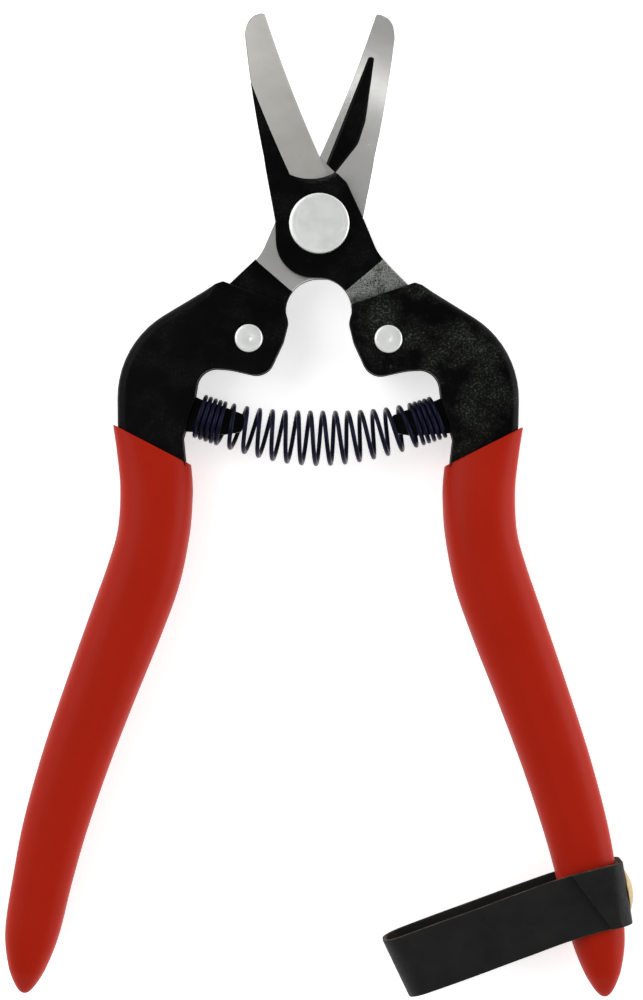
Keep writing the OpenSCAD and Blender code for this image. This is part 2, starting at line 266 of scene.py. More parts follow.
def inward(points):
    """Unit normals that point into a counter-clockwise outline."""
    along = np.roll(points, -1, 0) - np.roll(points, 1, 0)
    along /= np.linalg.norm(along, axis=1, keepdims=True)
    return np.column_stack([-along[:, 1], along[:, 0]])


def smoothstep(x):
    x = np.clip(x, 0, 1)
    return x * x * (3 - 2 * x)


# ---------------------------------------------------------------- meshes

def add_piece(name, points, faces, body, node, materials, mirrored=False, face_slots=None,
              sharp=35, ride=True):
    """A smooth-shaded mesh from points in millimetres, in place in the frame."""
    points = np.array(points, float)
    if mirrored:
        points[:, 0] *= -1
        faces = [tuple(reversed(f)) for f in faces]
    mesh = bpy.data.meshes.new(name)
    in_frame = points * MM + np.array(PIVOT)
    mesh.from_pydata(in_frame.tolist(), [], [tuple(map(int, f)) for f in faces])
    for material in materials:
        mesh.materials.append(material)
    if face_slots is not None:
        mesh.polygons.foreach_set("material_index", np.asarray(face_slots, np.int32))
    mesh.shade_smooth()
    bm = bmesh.new()
    bm.from_mesh(mesh)
    bmesh.ops.remove_doubles(bm, verts=bm.verts, dist=1e-7)
    bmesh.ops.recalc_face_normals(bm, faces=bm.faces)
    bm.to_mesh(mesh)
    bm.free()
    mesh.set_sharp_from_angle(angle=math.radians(sharp))
    piece = bpy.data.objects.new(name, mesh)
    bpy.context.scene.collection.objects.link(piece)
    if ride:
        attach(piece, body)
    if node:
        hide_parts(node)
    return piece


def tube(rings, ends=True):
    """Points and faces of a tube through rings that all have the same number of points."""
    rings = [np.asarray(r, float) for r in rings]
    n, last = len(rings[0]), len(rings) - 1
    around = [(i, (i + 1) % n) for i in range(n)]
    faces = [(k * n + i, (k + 1) * n + i, (k + 1) * n + j, k * n + j)
             for k in range(last) for i, j in around]
    points = np.vstack(rings)
    if ends:
        first_middle, last_middle = len(points), len(points) + 1
        points = np.vstack([points, rings[0].mean(0), rings[-1].mean(0)])
        faces += [(first_middle, i, j) for i, j in around]
        faces += [(last_middle, last * n + j, last * n + i) for i, j in around]
    return points, faces


def slab(outline, low, high, radius, steps=4):
    """A plate whose top and bottom edges are rounded; radius is one number or one per point."""
    r = np.broadcast_to(np.asarray(radius, float), (len(outline),))[:, None]
    normal = inward(outline)
    rings = []
    for side, base, order in ((1, low, range(steps + 1)), (-1, high, range(steps, -1, -1))):
        for k in order:
            angle = math.pi / 2 * k / steps
            flat = outline + normal * r * (1 - math.sin(angle))
            rings.append(np.hstack([flat, base + side * r * (1 - math.cos(angle))]))
    n = len(outline)
    points, faces = tube(rings, ends=False)
    faces += [tuple(range(n)), tuple(range(len(points) - 1, len(points) - n - 1, -1))]
    return points, faces


def lathe(profile, at, axis=(0, 0, 1), segments=96):
    """Turns (radius, height) pairs about an axis through a point. The profile starts and ends
    on the axis."""
    axis = Vector(axis).normalized()
    turn = Vector((0, 0, 1)).rotation_difference(axis)
    angles = np.linspace(0, 2 * math.pi, segments, endpoint=False)
    rings = [np.column_stack([r * np.cos(angles), r * np.sin(angles), np.full(segments, h)])
             for r, h in profile[1:-1]]
    points, faces = tube(rings)
    points[-2] = (0, 0, profile[0][1])
    points[-1] = (0, 0, profile[-1][1])
    return [np.array(turn @ Vector(p)) + np.array(at) for p in points], faces


# ---------------------------------------------------------------- materials

class Shader:
    """A node material built from object coordinates, which are metres in the frame."""

    def __init__(self, name, metallic=0.0, roughness=0.5, specular=0.5):
        self.material = bpy.data.materials.new(name)
        self.material.use_nodes = True
        self.tree = self.material.node_tree
        self.surface = self.tree.nodes["Principled BSDF"]
        self.surface.inputs["Metallic"].default_value = metallic
        self.surface.inputs["Roughness"].default_value = roughness
        self.surface.inputs["Specular IOR Level"].default_value = specular
        self.place = self.tree.nodes.new("ShaderNodeTexCoord").outputs["Object"]

    def link(self, a, b):
        self.tree.links.new(a, b)

    def stretched(self, scale, rotation=(0, 0, 0)):
        node = self.tree.nodes.new("ShaderNodeMapping")
        node.inputs["Scale"].default_value = scale
        node.inputs["Rotation"].default_value = rotation
        self.link(self.place, node.inputs["Vector"])
        return node.outputs["Vector"]

    def noise(self, scale, detail=4, roughness=0.55, vector=None, distortion=0.0):
        node = self.tree.nodes.new("ShaderNodeTexNoise")
        node.inputs["Scale"].default_value = scale
        node.inputs["Detail"].default_value = detail
        node.inputs["Roughness"].default_value = roughness
        node.inputs["Distortion"].default_value = distortion
        self.link(vector or self.place, node.inputs["Vector"])
        return node.outputs["Fac"]

    def cells(self, scale):
        node = self.tree.nodes.new("ShaderNodeTexVoronoi")
        node.inputs["Scale"].default_value = scale
        self.link(self.place, node.inputs["Vector"])
        return node.outputs["Distance"]

    def levels(self, value, low, high, start=0.3, end=0.7):
        """From low to high as the value goes from start to end."""
        node = self.tree.nodes.new("ShaderNodeMapRange")
        node.inputs["From Min"].default_value = start
        node.inputs["From Max"].default_value = end
        node.inputs["To Min"].default_value = low
        node.inputs["To Max"].default_value = high
        self.link(value, node.inputs["Value"])
        return node.outputs["Result"]

    def math(self, operation, a, b):
        node = self.tree.nodes.new("ShaderNodeMath")
        node.operation = operation
        for socket, value in zip(node.inputs, (a, b)):
            if isinstance(value, (int, float)):
                socket.default_value = value
            else:
                self.link(value, socket)
        return node.outputs["Value"]

    def mixed(self, factor, a, b):
        node = self.tree.nodes.new("ShaderNodeMix")
        node.data_type = "RGBA"
        self.link(factor, node.inputs["Factor"])
        for socket, colour in ((node.inputs[6], a), (node.inputs[7], b)):
            if isinstance(colour, tuple):
                socket.default_value = (*colour, 1)
            else:
                self.link(colour, socket)
        return node.outputs[2]

    def bump(self, height, strength, distance, under=None):
        node = self.tree.nodes.new("ShaderNodeBump")
        node.inputs["Strength"].default_value = strength
        node.inputs["Distance"].default_value = distance
        self.link(height, node.inputs["Height"])
        if under:
            self.link(under, node.inputs["Normal"])
        return node.outputs["Normal"]

    def finish(self, colour, roughness=None, normal=None):
        for name, value in (("Base Color", colour), ("Roughness", roughness), ("Normal", normal)):
            if value is not None:
                self.link(value, self.surface.inputs[name])
        return self.material


def ground_steel(name, dark, light, smooth, rough, relief):
    """Grey steel with fine grinding marks across the blade and faint handling marks."""
    s = Shader(name, metallic=0.8)
    marks = s.noise(1.0, 3, 0.6, s.stretched((500, 6000, 500), (0, 0, EDGE_LEAN)))
    clouds = s.noise(160, 5, 0.6)
    specks = s.noise(1500, 2, 0.5)
    grain = s.math("ADD", s.levels(clouds, 0, 0.75), s.levels(marks, 0, 0.25))
    colour = s.mixed(grain, dark, light)
    colour = s.mixed(s.levels(specks, 0, 0.4, 0.7, 0.82), colour, (0.16, 0.155, 0.15))
    roughness = s.math("ADD", s.levels(marks, smooth, rough), s.levels(clouds, -0.02, 0.02))
    return s.finish(colour, roughness, s.bump(marks, relief, 0.00001))


def black_oxide(name, wear):
    """Thin black coat on pressed steel: fine pits, and specks where the coat is rubbed through."""
    s = Shader(name, specular=0.06)
    fine = s.noise(2600, 4, 0.6)
    clouds = s.noise(120, 5, 0.6)
    spots = s.noise(420, 6, 0.7, distortion=0.4)
    specks = s.noise(2800, 3, 0.6)
    specked, clouded = s.levels(specks, 0.1, 1, 0.5, 0.66), s.levels(clouds, 0, wear, 0.46, 0.66)
    rubbed = s.math("MULTIPLY", specked, clouded)
    colour = s.mixed(s.levels(clouds, 0, 1), (0.0006, 0.0006, 0.0008), (0.0016, 0.0016, 0.002))
    colour = s.mixed(s.levels(spots, 0, 0.3, 0.68, 0.78), colour, (0.12, 0.12, 0.11))
    colour = s.mixed(rubbed, colour, (0.1, 0.115, 0.085))
    roughness = s.math("ADD", s.levels(clouds, 0.3, 0.42), s.levels(fine, -0.04, 0.06))
    return s.finish(colour, roughness, s.bump(fine, 0.18, 0.00003))


def rubbed_oxide():
    """The joggle of the front tang, where the coat is rubbed to a speckled grey shine."""
    s = Shader("rubbed_oxide", metallic=0.7)
    specks = s.noise(4200, 3, 0.6)
    clouds = s.noise(330, 4, 0.6)
    worn = s.math("ADD", s.levels(specks, 0.1, 0.75, 0.38, 0.64), s.levels(clouds, -0.2, 0.3))
    colour = s.mixed(worn, (0.03, 0.03, 0.031), (0.52, 0.55, 0.5))
    return s.finish(colour, s.levels(specks, 0.26, 0.4), s.bump(specks, 0.2, 0.00003))


def rivet_steel():
    """Bright satin steel with faint clouding and a little bruising."""
    s = Shader("rivet_steel", metallic=0.55)
    fine = s.noise(2200, 3, 0.6)
    clouds = s.noise(300, 5, 0.6)
    colour = s.mixed(s.levels(clouds, 0, 1), (0.84, 0.86, 0.83), (0.93, 0.945, 0.92))
    rough = s.math("ADD", s.levels(clouds, 0.3, 0.42), s.levels(fine, -0.04, 0.04))
    return s.finish(colour, rough, s.bump(fine, 0.12, 0.00003, s.bump(clouds, 0.15, 0.00005)))


def spring_steel():
    """Oiled blue-black wire with drawing marks."""
    s = Shader("spring_steel", metallic=0.5, specular=0.12)
    fine = s.noise(2500, 3, 0.6)
    clouds = s.noise(500, 4, 0.6)
    colour = s.mixed(s.levels(clouds, 0, 1), (0.003, 0.003, 0.011), (0.009, 0.009, 0.03))
    return s.finish(colour, s.levels(fine, 0.22, 0.38), s.bump(fine, 0.15, 0.00002))


def red_vinyl():
    """Dipped vinyl: smooth, with a very soft orange peel and faint darker scuffs."""
    s = Shader("red_vinyl", specular=0.1)
    peel = s.noise(420, 2, 0.4)
    fine = s.noise(3000, 2, 0.5)
    clouds = s.noise(60, 5, 0.6)
    colour = s.mixed(s.levels(clouds, 0, 1), (0.355, 0.0105, 0.0012), (0.385, 0.0125, 0.002))
    rough = s.math("ADD", s.levels(clouds, 0.4, 0.48), s.levels(fine, -0.03, 0.03))
    s.surface.inputs["Subsurface Weight"].default_value = 0.06
    s.surface.inputs["Subsurface Radius"].default_value = (0.003, 0.0008, 0.0004)
    return s.finish(colour, rough, s.bump(peel, 0.12, 0.0002, s.bump(fine, 0.08, 0.00003)))


def black_leather():
    """Dyed leather with a fine pebbled grain and softer, greyer creases."""
    s = Shader("black_leather", specular=0.2)
    grain = s.cells(1500)
    pores = s.noise(3500, 4, 0.65)
    clouds = s.noise(180, 6, 0.65)
    colour = s.mixed(s.levels(clouds, 0, 1), (0.003, 0.0032, 0.0032), (0.0085, 0.0085, 0.008))
    rough = s.math("ADD", s.levels(clouds, 0.46, 0.6), s.levels(grain, -0.04, 0.06, 0.1, 0.6))
    normal = s.bump(grain, 0.35, 0.00006, s.bump(pores, 0.3, 0.00004))
    return s.finish(colour, rough, normal)


def leather_edge():
    """Raw cut edge of the leather: fibrous, mostly dyed, tan where the dye missed."""
    s = Shader("leather_edge", specular=0.2)
    fibres = s.noise(1.0, 5, 0.7, s.stretched((2500, 2500, 900)))
    patches = s.noise(260, 5, 0.6)
    bare = s.math("MULTIPLY", s.levels(fibres, 0, 1), s.levels(patches, 0.1, 1, 0.4, 0.62))
    colour = s.mixed(bare, (0.013, 0.011, 0.01), (0.13, 0.085, 0.045))
    return s.finish(colour, s.levels(fibres, 0.75, 0.95), s.bump(fibres, 0.5, 0.0001))


def brass():
    """Domed brass, polished in some patches and tarnished in others."""
    s = Shader("brass", metallic=1.0)
    clouds = s.noise(700, 5, 0.65)
    fine = s.noise(3500, 3, 0.6)
    colour = s.mixed(s.levels(clouds, 0, 1), (0.36, 0.24, 0.1), (0.62, 0.45, 0.2))
    return s.finish(colour, s.levels(clouds, 0.22, 0.4), s.bump(fine, 0.12, 0.00003))


def pale_floor():
    """Plain pale sheet, lit a little from below like a light table."""
    s = Shader("pale_floor", specular=0.1, roughness=0.9)
    fibres = s.noise(900, 3, 0.6)
    s.surface.inputs["Emission Color"].default_value = (1, 1, 1, 1)
    s.surface.inputs["Emission Strength"].default_value = 0.55
    return s.finish(s.mixed(s.levels(fibres, 0, 1), (0.93, 0.93, 0.93), (0.95, 0.95, 0.95)))


# ---------------------------------------------------------------- blades

def edge_x(y):
    """The cutting edge as one gentle curve."""
    up = y - EDGE_FOOT[1]
    return EDGE_FOOT[0] - EDGE_SLOPE * up + EDGE_BEND * up ** 2


def spine_x(y):
    """The back of the blade: a slight bow, then an elliptical corner at the tip."""
    rise = np.clip((np.asarray(y, float) - TIP_ROUND_Y) / TIP_ROUND[1], 0, 1)
    low = np.minimum(y, TIP_ROUND_Y)
    bow = SPINE_BOW * np.clip(1 - ((low - SPINE_BOW_Y) / SPINE_BOW_REACH) ** 2, 0, 1)
    return SPINE_X - SPINE_SLOPE * low - bow + TIP_ROUND[0] * (1 - np.sqrt(1 - rise ** 2))


def ground_low(x):
    """Lower border of the ground bevel."""
    return GROUND_LOW_AT[1] + GROUND_LOW_BEND * (x - GROUND_LOW_AT[0]) ** 2


def bevel_x(y):
    """Border of the ground bevel on the spine side."""
    return edge_x(y) - BEVEL_W / math.cos(EDGE_LEAN)


def side_of(line, x, y):
    """Distance beyond a line through two points, on its right-hand side."""
    (ax, ay), (bx, by) = line
    return ((bx - ax) * (ay - y) + (by - ay) * (x - ax)) / math.hypot(bx - ax, by - ay)


def step_share(x, y):
    """0 on the blade side of the joggle, 1 on the tang side."""
    past, left = side_of(STEP_TOP, x, y), -side_of(STEP_FOOT, x, y)
    share = np.where(past <= 0, 0, np.where(left <= 0, 1, past / np.maximum(past + left, 1e-6)))
    return smoothstep(share) * 0.5 + share * 0.5


def blade_levels(x, y, outward, hollow):
    """Heights of the mating face and of the outer face; hollow is 1 on the hollow's floor and 0
    outside it."""
    reach = np.clip(np.hypot(x, y) - CURVE_START, 0, None)
    lift = np.where(y > 0, CURVE_R - np.sqrt(CURVE_R ** 2 - reach ** 2), 0)
    middle = lift + outward * (BLADE_LOW + BLADE_T / 2) * (1 - step_share(x, y))
    across = np.clip((edge_x(y) - x) * math.cos(EDGE_LEAN), 0, None)
    full = EDGE_T + (BLADE_T - EDGE_T) * np.clip(across / BEVEL_W, 0, 1)
    run_out = smoothstep((y - ground_low(x)) / RUN_OUT + 1)
    height = BLADE_T + (full - BLADE_T) * run_out
    mating = middle - outward * (BLADE_T / 2 - HOLLOW_DEPTH * hollow)
    return mating, middle + outward * (height - BLADE_T / 2)


def blade_outline():
    """The whole stamping, from the tip down the edge, round the tang and the arch, up the spine."""
    edge = [(edge_x(y), y, 0) for y in np.linspace(TIP_Y, EDGE_FOOT[1], 60)]
    cx, cy = ARCH_CENTRE
    arch_start = math.asin((ARCH_FOOT_Y - cy) / ARCH_R)
    arch = [(cx + ARCH_R * math.cos(a), cy + ARCH_R * math.sin(a), 0)
            for a in np.linspace(arch_start, math.pi / 2, 24)]
    spine = [(float(spine_x(y)), y, 0) for y in np.linspace(BLADE_ROOT_Y, TIP_Y, 80)]
    corners = edge + EYE_CORNERS + TANG_CORNERS + arch + HEEL_CORNERS + spine
    return resampled(rounded_outline(corners), 0.32)


def inside(points, outline):
    """Which points lie inside a closed outline."""
    x, y = points[:, 0], points[:, 1]
    result = np.zeros(len(points), bool)
    for (ax, ay), (bx, by) in zip(outline, np.roll(outline, -1, 0)):
        crosses = (ay > y) != (by > y)
        at = ax + (y - ay) * (bx - ax) / (by - ay if by != ay else 1e-12)
        result ^= crosses & (x < at)
    return result


def distance_to(points, line):
    """Shortest distance from each point to a closed line."""
    a, b = line, np.roll(line, -1, 0)
    d = b - a
    t = ((points[:, None] - a) * d).sum(2) / (d * d).sum(1)
    near = a + np.clip(t, 0, 1)[:, :, None] * d
    return np.sqrt(((points[:, None] - near) ** 2).sum(2)).min(1)


def blade_lines(border, ring, hollow_line):
    """The lines that must be edges of the blade's mesh, each with whether it is closed."""
    angles = np.linspace(0, 2 * math.pi, 64, endpoint=False)
    bore = np.array([(BORE_R * math.cos(a), BORE_R * math.sin(a)) for a in angles])
    closed = [border, ring, bore]
    if hollow_line is not None:
        closed += [hollow_line, hollow_line + inward(hollow_line) * HOLLOW_EASE]
    ys = np.linspace(GROUND_LOW_AT[1] + 0.75, GROUND_ALL_Y + 0.1, 50)
    bevel_line = np.column_stack([bevel_x(ys), ys])
    xs = np.linspace(bevel_line[0][0], 3.3, 24)
    low_line = np.column_stack([xs, ground_low(xs)])
    shares = np.linspace(-0.6, 1.6, 24)
    step_lines = [np.array([np.array(a) + (np.array(b) - np.array(a)) * t for t in shares])
                  for a, b in (STEP_TOP, STEP_FOOT)]
    opened = [line[inside(line, ring)] for line in (bevel_line, low_line, *step_lines)]
    return [(line, True) for line in closed] + [(line, False) for line in opened]


def blade_plan(border, hollow_line):
    """Points and triangles of the blade as seen flat."""
    ring = border + inward(border) * 0.16
    points, edges = [], []
    for line, closed in blade_lines(border, ring, hollow_line):
        first, last = len(points), len(points) + len(line) - 1
        points.extend(map(tuple, line))
        edges.extend((i, i + 1) for i in range(first, last))
        if closed:
            edges.append((last, first))
    low, high = border.min(0), border.max(0)
    gx, gy = np.meshgrid(np.arange(low[0], high[0], GRID[0]), np.arange(low[1], high[1], GRID[1]))
    gx[1::2] += GRID[0] / 2
    grid = np.column_stack([gx.ravel(), gy.ravel()])
    grid = grid[inside(grid, ring)]
    apart = np.sqrt(((grid[:, None] - np.array(points)[None]) ** 2).sum(2)).min(1)
    points.extend(map(tuple, grid[apart > GRID_CLEAR]))

    whole = [list(range(len(border)))]
    found = delaunay_2d_cdt([Vector(p) for p in points], edges, whole, 1, 1e-5)
    flat = np.array([tuple(v) for v in found[0]])
    triangles = np.array([f for f in found[2] if len(f) == 3])
    centres = flat[triangles].mean(1)
    return flat, triangles[np.hypot(centres[:, 0], centres[:, 1]) > BORE_R * 0.998]


def blade_heights(flat, border, outward, hollow_line):
    """Heights of the mating face and of the outer face at each point, with their rims eased."""
    hollow = np.zeros(len(flat))
    if hollow_line is not None:
        deep = np.clip(distance_to(flat, hollow_line) / HOLLOW_EASE, 0, 1)
        hollow = np.where(inside(flat, hollow_line), deep, 0)
    mating, outer = blade_levels(flat[:, 0], flat[:, 1], outward, hollow)
    rim = np.clip(1 - distance_to(flat, border) / RIM_W, 0, 1)
    ease = (0.01 + 0.09 * np.clip(np.abs(outer - mating) - 0.6, 0, 1)) * rim
    return mating + outward * ease, outer - outward * ease


def open_edges(triangles):
    """Edges that only one triangle has, in that triangle's direction."""
    used = dict.fromkeys((t[i], t[(i + 1) % 3]) for t in triangles for i in range(3))
    return [e for e in used if (e[1], e[0]) not in used]


def blade_slots(centres, wall_at, outward, hollow_line):
    """The material of each face: those on top, then those below, then the walls."""
    x, y = centres[:, 0], centres[:, 1]
    past_step = side_of(STEP_TOP, x, y) > 0
    ground = (x > bevel_x(y)) & (y > ground_low(x)) | (y > GROUND_ALL_Y)
    outer = np.where(ground, BARE, COATED)
    mating = np.where(past_step, COATED, BARE)
    if outward > 0:
        outer = np.where(past_step & (side_of(STEP_FOOT, x, y) < 0), RUBBED, outer)
    if hollow_line is not None:
        mating = np.where(inside(centres, hollow_line), COATED, mating)
    x, y = wall_at[:, 0], wall_at[:, 1]
    on_edge = (x > edge_x(y) - 0.5) & (y > GROUND_WALL_Y)
    walls = np.where((y > GROUND_ALL_Y) | on_edge, BARE, COATED)
    return np.concatenate([outer, mating, walls] if outward > 0 else [mating, outer, walls])


def blade(name, outward, mirrored, body, materials):
    """One stamping: blade, pivot eye and tang. Its bare, coated and rubbed areas each have their
    own material, and their borders are edges of the mesh."""
    border = blade_outline()
    hollow_line = resampled(rounded_outline(HOLLOW_CORNERS), 0.35) if outward < 0 else None
    flat, triangles = blade_plan(border, hollow_line)
    mating, outer = blade_heights(flat, border, outward, hollow_line)
    top, bottom = (outer, mating) if outward > 0 else (mating, outer)
    points = np.vstack([np.column_stack([flat, top]), np.column_stack([flat, bottom])])
    n, walls = len(flat), open_edges(triangles)
    faces = [tuple(t) for t in triangles] + [tuple(n + v for v in reversed(t)) for t in triangles]
    faces += [(b, a, n + a, n + b) for a, b in walls]
    wall_at = np.array([(flat[a] + flat[b]) / 2 for a, b in walls])
    slots = blade_slots(flat[triangles].mean(1), wall_at, outward, hollow_line)
    add_piece(name, points, faces, body, name, materials, mirrored, slots, sharp=11)


# ---------------------------------------------------------------- handles

def between(p, f):
    """A smooth curve through four points, at share f of the way from the second to the third."""
    return 0.5 * (2 * p[1] + (p[2] - p[0]) * f + (2 * p[0] - 5 * p[1] + 4 * p[2] - p[3]) * f * f
                  + (3 * p[1] - p[0] - 3 * p[2] + p[3]) * f ** 3)


def grip_station(s):
    """The values of GRIP at any place s along it."""
    last = len(GRIP) - 1
    k = min(int(s), last - 1)
    return between([np.array(GRIP[max(0, min(last, i))], float) for i in range(k - 1, k + 3)], s - k)


def grip_edge(s, side, inset):
    """A point on the grip's outer (side 0) or inner (side 1) edge, moved in by inset."""
    g = grip_station(s)
    ends = g[:2], g[2:4]
    return ends[side] + unit(ends[1 - side] - ends[side]) * inset


def grip_ring(s, inset, half_t, roundness=GRIP_ROUNDNESS):
    a, b = grip_edge(s, 0, inset), grip_edge(s, 1, inset)
    angle = np.linspace(0, 2 * math.pi, GRIP_SIDES, endpoint=False)
    c, d = np.cos(angle), np.sin(angle)
    share = (1 + np.sign(c) * np.abs(c) ** roundness) / 2
    flat = b + (a - b) * share[:, None]
    return np.column_stack([flat, half_t * np.sign(d) * np.abs(d) ** roundness])


def grip(side, material):
    """A sleeve with a real inside: rings from the cavity's end, out over the mouth, to the tip."""
    last = len(GRIP) - 1
    inner_half_t = CHANNEL_H / 2 + 0.05
    rings = [grip_ring(s, GRIP_WALL, inner_half_t, 0.35) for s in np.linspace(CAVITY_STATIONS, 0.1, 30)]
    rings += [grip_ring(s, inset, GRIP[0][4] - drop) for s, inset, drop in GRIP_MOUTH]
    rings += [grip_ring(s, 0, grip_station(s)[4]) for s in np.linspace(0.1, last - 1, 110)]
    end = rings[-1]
    middle = end.mean(0)
    tip = np.array([*GRIP_TIP, 0])
    for left in (1 - np.arange(1, 14) / 14) ** 2:
        width = math.sqrt(left * (0.84 + 0.16 * left))
        rings.append(tip + (middle - tip) * left + (end - middle) * width)
    points, faces = tube(rings)
    add_piece(f"{side}_grip", points, faces, f"{side}_half", f"{side}_grip", [material],
              side == "left", sharp=50)


def grip_line(side, inset, stations):
    """Points along the grip's outer (side 0) or inner (side 1) edge, moved in by inset."""
    return [tuple(grip_edge(s, side, inset)) for s in stations]


def channel_outline():
    """The pressed outline, and the edge radius at each point: the folded web is round."""
    up = grip_line(1, CHANNEL_INSET, np.arange(CAVITY_STATIONS - 0.4, 0.55, -0.25))
    down = grip_line(0, CHANNEL_INSET, np.arange(0.3, CAVITY_STATIONS - 0.5, 0.25))
    sharp = [[(*p, 0) for p in points] for points in (up + [(23.9, -41.5)], down)]
    line = resampled(rounded_outline(sharp[0] + LOBE_CORNERS + sharp[1]), 0.3)
    x, y = line[:, 0], line[:, 1]
    web = (x > WEB_INNER_X) & (side_of(WEB_INNER_LINE, x, y) < 0)
    web |= x > WEB_OUTER_X + np.clip(WEB_BEND_Y - y, 0, None) * WEB_OUTER_LEAN
    radius = np.where(web, BEND_R, LIP_R)
    kernel = np.ones(9) / 9
    return line, np.convolve(np.concatenate([radius[-4:], radius, radius[:4]]), kernel, "valid")


def pocket_outline():
    """Inside of a channel: it leaves the web along the outer edge and is open along the inner."""
    lip = [(20, -45), (2, -45), (2, -5), (17.2, -5), (17.2, -11.9), (18.4, -12.6), (30.5, -20.6),
           (33.4, -24), (34.6, -30), (34.6, -36)]
    down = grip_line(0, CHANNEL_INSET + SHEET_T, np.arange(0.3, CAVITY_STATIONS, 0.5))
    up = grip_line(1, -1, np.arange(CAVITY_STATIONS - 0.4, 0.55, -0.5))
    return resampled(lip + down + up, 0.8)


def apply_modifiers(piece):
    settled = piece.evaluated_get(bpy.context.evaluated_depsgraph_get())
    made = bpy.data.meshes.new_from_object(settled)
    piece.modifiers.clear()
    piece.data = made


def channel(side, coat):
    line, radius = channel_outline()
    points, faces = slab(line, -CHANNEL_H / 2, CHANNEL_H / 2, radius, 6)
    piece = add_piece(f"{side}_channel", points, faces, f"{side}_half", f"{side}_channel",
                      [coat], side == "left")
    points, faces = slab(pocket_outline(), -CHANNEL_GAP / 2, CHANNEL_GAP / 2, 0.1, 2)
    cutter = add_piece("pocket_cutter", points, faces, f"{side}_half", None, [coat],
                       side == "left")
    cut = piece.modifiers.new("pocket", "BOOLEAN")
    cut.operation, cut.object, cut.solver = "DIFFERENCE", cutter, "EXACT"
    apply_modifiers(piece)
    bpy.data.objects.remove(cutter)
    piece.data.set_sharp_from_angle(angle=math.radians(32))


def spring_horn(side, coat):
    outline = resampled(rounded_outline(HORN_CORNERS), 0.25)
    points, faces = slab(outline, -TANG_T / 2, TANG_T / 2, 0.35)
    add_piece(f"{side}_spring_horn", points, faces, f"{side}_half", f"{side}_spring_horn",
              [coat], side == "left")


# ---------------------------------------------------------------- rivets

def tang_rivet(side, steel):
    """A low head on the front, with a shallow dish, and a plain one on the back."""
    top, head_r, shank_r = CHANNEL_H / 2, 2.5, 1.6
    face = [(0, 0.36), (0.25, 0.37), (0.45, 0.43), (0.62, 0.47), (2.1, 0.5), (2.3, 0.46),
            (2.44, 0.36), (head_r, 0.2), (head_r, 0), (shank_r, 0)]
    back = [(shank_r, 0), (head_r, 0), (head_r, 0.2), (2.3, 0.42), (1.2, 0.5), (0, 0.5)]
    profile = [(r, top + h) for r, h in face] + [(r, -top - h) for r, h in back]
    points, faces = lathe(profile, (*TANG_RIVET_AT, 0), segments=72)
    add_piece(f"{side}_tang_rivet", points, faces, f"{side}_half", f"{side}_tang_rivet",
              [steel], side == "left", sharp=40)


def pivot_rivet(steel):
    """A wide flat head with a faint ring near its rim, and a peened end behind the washer."""
    seat = BLADE_LOW + BLADE_T
    front, back = seat + HEAD_GAP, -seat - WASHER_T
    head = [(0, 1.4), (1.5, 1.4), (3.9, 1.4), (4.2, 1.385), (4.3, 1.375), (4.4, 1.385), (4.7, 1.38),
            (5.15, 1.35), (5.3, 1.27), (5.38, 1.12), (5.4, 0.9), (5.4, 0.08), (5.32, 0), (SHANK_R, 0)]
    peened = [(SHANK_R, 0), (3.5, 0.1), (3.55, 0.3), (3.2, 0.65), (2.2, 0.88), (0, 0.9)]
    profile = [(r, front + h) for r, h in head] + [(r, back - h) for r, h in peened]
    points, faces = lathe(profile, (0, 0, 0), segments=128)
    add_piece("pivot_rivet", points, faces, "left_half", "pivot_rivet", [steel],
              sharp=40)


def pivot_washer(steel):
    """A ring with bevelled outer edges, round the rivet's end."""
    bevel = 0.2
    section = [(WASHER_BORE_R, 0), (WASHER_R - bevel, 0), (WASHER_R, bevel),
               (WASHER_R, WASHER_T - bevel), (WASHER_R - bevel, WASHER_T), (WASHER_BORE_R, WASHER_T)]
    top = -BLADE_LOW - BLADE_T
    angles = np.linspace(0, 2 * math.pi, 96, endpoint=False)
    rings = [np.array([(r * math.cos(a), r * math.sin(a), top - h) for r, h in section])
             for a in angles]
    points, faces = tube(rings + rings[:1], ends=False)
    add_piece("pivot_washer", points, faces, "left_half", "pivot_washer", [steel],
              sharp=40)


# ---------------------------------------------------------------- spring

def return_spring(steel):
    """The coil has open turns in its middle and tight turns over the horns; v counts turns."""

    def axis(v):
        x = math.copysign(min(abs(v), OPEN_TURNS / 2) * OPEN_PITCH
                          + max(0, abs(v) - OPEN_TURNS / 2) * TIGHT_PITCH, v)
        return np.array([x, SPRING_MID_Y + SPRING_BOW * x * x, 0])

    def wire(v):
        c = axis(v)
        d = COIL_D_MID + (COIL_D_END - COIL_D_MID) * smoothstep(abs(c[0]) / TAPER_REACH)
        angle = 2 * math.pi * (v - SPRING_PHASE)
        slope = math.atan(2 * SPRING_BOW * c[0])
        across = np.array([-math.sin(slope), math.cos(slope), 0])
        spoke = across * math.cos(angle) + np.array([0, 0, 1]) * math.sin(angle)
        return c + (d - WIRE_D) / 2 * spoke

    rings = []
    half, sides = OPEN_TURNS / 2 + TIGHT_TURNS, 12
    round_wire = np.linspace(0, 2 * math.pi, sides, endpoint=False)
    for v in np.linspace(-half, half, round(2 * half * 40)):
        along = unit(wire(v + 0.02) - wire(v - 0.02))
        side = unit(np.cross(along, wire(v) - axis(v)))
        up = np.cross(side, along)
        shape = np.cos(round_wire)[:, None] * up + np.sin(round_wire)[:, None] * side
        rings.append(wire(v) + WIRE_D / 2 * shape)
    points, faces = tube(rings)
    piece = add_piece("return_spring", points, faces, None, "return_spring", [steel],
                      sharp=60, ride=False)
    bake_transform(piece)


# ---------------------------------------------------------------- strap

